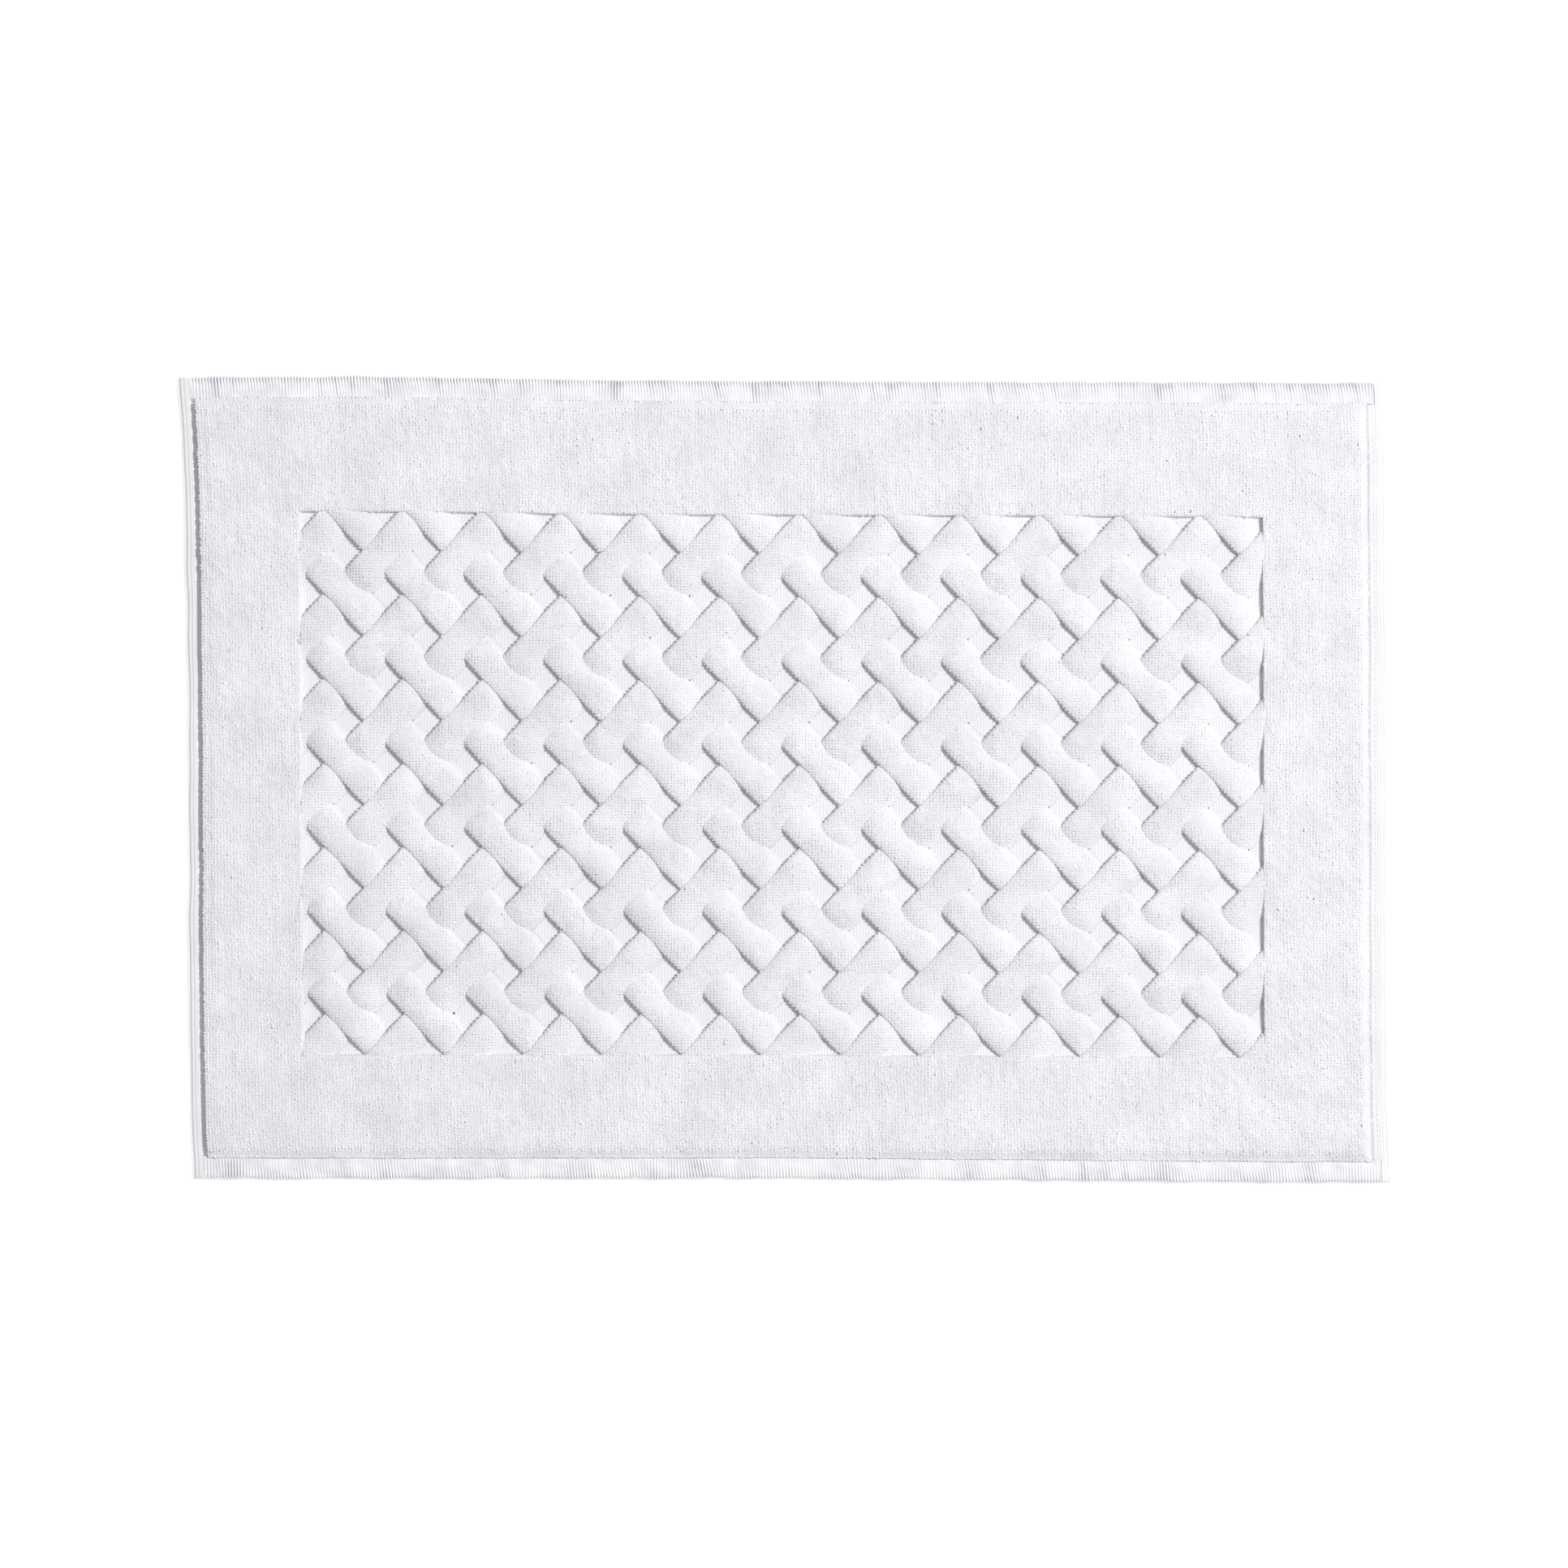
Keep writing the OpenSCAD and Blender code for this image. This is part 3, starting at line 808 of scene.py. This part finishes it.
def makeSideHem(left):
    # The tape's section carried along Y: two soft ridges on the turned part, a stitched groove
    # beside it and the flat band. Past the end hems the section stops at the turned part, and at
    # both corners it closes in on a quarter round.
    name, node = ("left_hem_tape", "left_side_hem") if left else ("right_hem_tape",
                                                                  "right_side_hem")
    box = boxOf(node)
    seed = 61 if left else 71
    foot, width = box[low, 2], np.ptp(box[:, 0])
    thick = np.ptp(box[:, 2])
    r, under = thick / 2, sideHem["underWidth"]
    turn = sideHem["leftTurn"] if left else sideHem["rightTurn"]
    groove = sideHem["leftGroove"] if left else sideHem["rightGroove"]
    angle = np.linspace(-math.pi / 2, -3 * math.pi / 2, 11)[1:-1]
    ridge = np.linspace(r, turn - 0.5 * mm, sideHem["ridgePoints"])
    ridgeZ = thick + sideHem["ridge"] * (np.cos((ridge - r) / (turn - r) * 4 * math.pi) - 1)
    # the stitched groove and the band beside it: distance from the turned part, and depth as a
    # share of the groove's
    bandU = np.append(turn + np.array([0, 0.5, 1.2, 2.0, 3.2]) * mm, width)
    bandZ = groundTop - foot - groove * np.array([0.5, 1.0, 1.0, 0.9, 0.7, 0.5])
    u = np.concatenate([[width, under, under, (under + r) / 2, r], r + r * np.cos(angle),
                        ridge, bandU])
    lower = clothBox[low, 2] - foot
    z = np.concatenate([[lower, lower, 0, 0, 0], r + r * np.sin(angle), ridgeZ, bandZ])
    bandEnd = endHemBox[low, 1]
    corner = np.concatenate([
        -halfMat[1] + sideHem["endRound"] * (1 - np.cos(np.linspace(0, math.pi / 2, 6))),
        np.linspace(-halfMat[1] + 2 * sideHem["endRound"], -bandEnd - 0.05 * mm, 8)])
    y = np.concatenate([corner, np.arange(-bandEnd, bandEnd, sideHem["rowPitch"]), -corner[::-1]])
    beyond = np.abs(y) > bandEnd + 0.01 * mm
    gridU = np.where(beyond[:, None], np.minimum(u, turn)[None], u[None])
    gridZ = np.broadcast_to(z[None], gridU.shape).copy()
    lifted = beyond[:, None] & (u > turn)[None]
    gridZ[lifted] = np.clip(gridZ[lifted], 0.3 * mm, thick - 0.5 * mm)
    ends = np.clip((halfMat[1] - np.abs(y)) / sideHem["endRound"], 0, 1)
    thin = sideHem["endThick"]
    close = np.sqrt(1 - (1 - ends) ** 2)[:, None] * (1 - thin) + thin
    gridZ = thick / 2 + (gridZ - thick / 2) * close
    gridZ = gridZ * (1 - sideHem["droop"] * np.clip(turn - gridU, 0, None) / thick)
    upper = smoothStep((z - thick / 2) / (thick / 2))[None] * (u < turn)[None]
    pucker = sideHem["pucker"] * softNoise(y, 0 * y, sideHem["puckerSize"], seed)
    gridZ = gridZ + upper * pucker[:, None]
    waver = sideHem["waver"] * softNoise(y, 0 * y, sideHem["waverSize"], seed + 1)
    gridU = gridU + waver[:, None] * np.clip(1 - gridU / turn, 0, 1)
    gridY = np.broadcast_to(y[:, None], gridU.shape)
    sign = -1 if left else 1
    points = np.stack([sign * (halfMat[0] - gridU), gridY, foot + gridZ], -1)
    ring = len(u)
    quads = gridQuads(len(y), ring, wrapColumns=True)
    caps = [np.arange(ring)[::-1], (len(y) - 1) * ring + np.arange(ring)]
    if not left:
        quads = quads[:, ::-1]
        caps = [cap[::-1] for cap in caps]
    return makePiece(name, points, quads, [node], selvedgeTape, capRings=caps)


stitch = dict(
    pitch=3.2 * mm, length=3.0 * mm, radius=0.26 * mm,
    taper=0.45, flatness=1.2,         # thinner at both ends, and wider than it is high
    arch=0.12 * mm, sink=0.2 * mm,    # height of its middle, and depth of its ends in the cloth
    shift=0.08 * mm, turn=0.06, smallest=0.92, largest=1.08,
    # where the threads lie: below the side band's top, above the end band's, into both undersides
    inGroove=0.2 * mm, onBand=0.1 * mm, under=0.05 * mm,
)


def stitchTemplate():
    # a short thread along X: rings of four points round an arched line that dips at both ends
    t = np.linspace(-1, 1, 5)
    lineX = t * stitch["length"] / 2
    lineZ = stitch["arch"] - (stitch["arch"] + stitch["sink"]) * t ** 4
    r = stitch["radius"] * (1 - stitch["taper"] * t ** 4)
    angle = np.arange(4) * math.pi / 2 + math.pi / 4
    rings = np.zeros((5, 4, 3))
    rings[:, :, 0] = lineX[:, None]
    rings[:, :, 1] = r[:, None] * np.cos(angle) * stitch["flatness"]
    rings[:, :, 2] = lineZ[:, None] + r[:, None] * np.sin(angle)
    quads = gridQuads(5, 4, wrapColumns=True)
    ends = np.array([[3, 2, 1, 0], [16, 17, 18, 19]])
    return rings.reshape(-1, 3), np.concatenate([quads, ends])


def makeSeam(name, node, start, end, faceZ, underZ):
    # two rows of stitches from start to end, one on the face and one on the underside
    rng = np.random.default_rng(sum(map(ord, name)))
    template, quads = stitchTemplate()
    start, end = np.array(start), np.array(end)
    count = int(np.linalg.norm(end - start) / stitch["pitch"])
    share = (np.arange(count) + 0.5) / count
    line = start + share[:, None] * (end - start)
    direction = math.atan2(*(end - start)[::-1])
    spots = np.concatenate([np.column_stack([line, np.full(count, faceZ)]),
                            np.column_stack([line, np.full(count, underZ)])])
    spots[:, :2] += rng.normal(0, stitch["shift"], (2 * count, 2))
    turn = direction + rng.normal(0, stitch["turn"], 2 * count)
    size = rng.uniform(stitch["smallest"], stitch["largest"], 2 * count)
    points, faces = placeCopies(template, quads, spots, turn, np.zeros((2 * count, 2)), size)
    # the second row is turned upside down, and its faces with it
    points = points.reshape(2 * count, -1, 3)
    points[count:, :, 2] = 2 * underZ - points[count:, :, 2]
    faces = faces.reshape(2 * count, -1, 4)
    faces[count:] = faces[count:, :, ::-1]
    return makePiece(name, points, faces.reshape(-1, 4), [node], sewingThread)


def makeSeams():
    # each seam runs down the middle of its CAD stitches and stops short of the corners
    made = []
    for name, node in (("left_side_stitches", "left_side_seam"),
                       ("right_side_stitches", "right_side_seam")):
        x = boxOf(node)[:, 0].mean()
        reach = boxOf(node)[high, 1]
        made.append(makeSeam(name, node, (x, -reach), (x, reach),
                             groundTop - stitch["inGroove"],
                             sideHemBox[low, 2] + stitch["under"]))
    for name, node in (("top_end_stitches", "top_end_seam"),
                       ("bottom_end_stitches", "bottom_end_seam")):
        y = boxOf(node)[:, 1].mean()
        reach = boxOf(node)[high, 0]
        made.append(makeSeam(name, node, (-reach, y), (reach, y),
                             endHemBox[high, 2] + stitch["onBand"],
                             endHemBox[low, 2] + stitch["under"]))
    return made


loopPieces = makeLoops()
beds = [makeBorderBed(), makeStrandBed("rising"), makeStrandBed("falling")]
groundPiece = makeGround()
backPiece = makeBackPile()
hems = [makeEndHem(True), makeEndHem(False), makeSideHem(True), makeSideHem(False)]
seams = makeSeams()


floorLook = dict(reach=6.0, drop=0.3 * mm, colour="#fbfbfb", glow=0.4)


def makeFloor():
    # a large pale square just under the mat, with a faint glow of its own that keeps it white
    reach, z = floorLook["reach"], -floorLook["drop"]
    mesh = bpy.data.meshes.new("floor")
    mesh.from_pydata([(-reach, -reach, z), (reach, -reach, z), (reach, reach, z),
                      (-reach, reach, z)], [], [(0, 1, 2, 3)])
    material = bpy.data.materials.new("matt white studio floor")
    material.use_nodes = True
    shader = material.node_tree.nodes["Principled BSDF"]
    shader.inputs["Base Color"].default_value = fromHex(floorLook["colour"])
    shader.inputs["Roughness"].default_value = 1.0
    shader.inputs["Specular IOR Level"].default_value = 0.0
    shader.inputs["Emission Color"].default_value = (1, 1, 1, 1)
    shader.inputs["Emission Strength"].default_value = floorLook["glow"]
    mesh.materials.append(material)
    floor = bpy.data.objects.new("floor", mesh)
    bpy.context.scene.collection.objects.link(floor)


# one large lamp from the upper right, low enough for the weave to throw shadows, and an even
# white surround
studio = dict(azimuth=23, elevation=50, distance=7.0, size=1.54, power=141, surround=0.42)


def makeLight():
    # the lamp stands at its azimuth and elevation, on a sphere round the mat, and faces its middle
    lamp = bpy.data.lights.new("key", "AREA")
    lamp.shape = "DISK"
    lamp.size = studio["size"]
    lamp.energy = studio["power"] * math.pi
    key = bpy.data.objects.new("key", lamp)
    bpy.context.scene.collection.objects.link(key)
    azimuth, elevation = math.radians(studio["azimuth"]), math.radians(studio["elevation"])
    key.location = [studio["distance"] * math.cos(elevation) * math.cos(azimuth),
                    studio["distance"] * math.cos(elevation) * math.sin(azimuth),
                    studio["distance"] * math.sin(elevation)]
    key.rotation_euler = (0, math.pi / 2 - elevation, azimuth)
    world = bpy.data.worlds.new("surround")
    world.use_nodes = True
    world.node_tree.nodes["Background"].inputs[0].default_value = (1, 1, 1, 1)
    world.node_tree.nodes["Background"].inputs[1].default_value = studio["surround"]
    bpy.context.scene.world = world


# straight above the mat, on a long lens
shot = dict(height=2.8, across=0.9801, centre=(-1.4 * mm, -1.5 * mm), sensor=36)


def makeCamera():
    # looks straight down, with the focal length that makes the view this far across at the cloth
    lens = bpy.data.cameras.new("above")
    lens.sensor_width = shot["sensor"]
    lens.lens = shot["sensor"] * (shot["height"] - groundTop) / shot["across"]
    camera = bpy.data.objects.new("above", lens)
    camera.location = (*shot["centre"], shot["height"])
    bpy.context.scene.collection.objects.link(camera)
    bpy.context.scene.camera = camera


makeFloor()
makeLight()
makeCamera()
bpy.context.scene.view_settings.view_transform = "Standard"
print("floor, light and camera are in place")
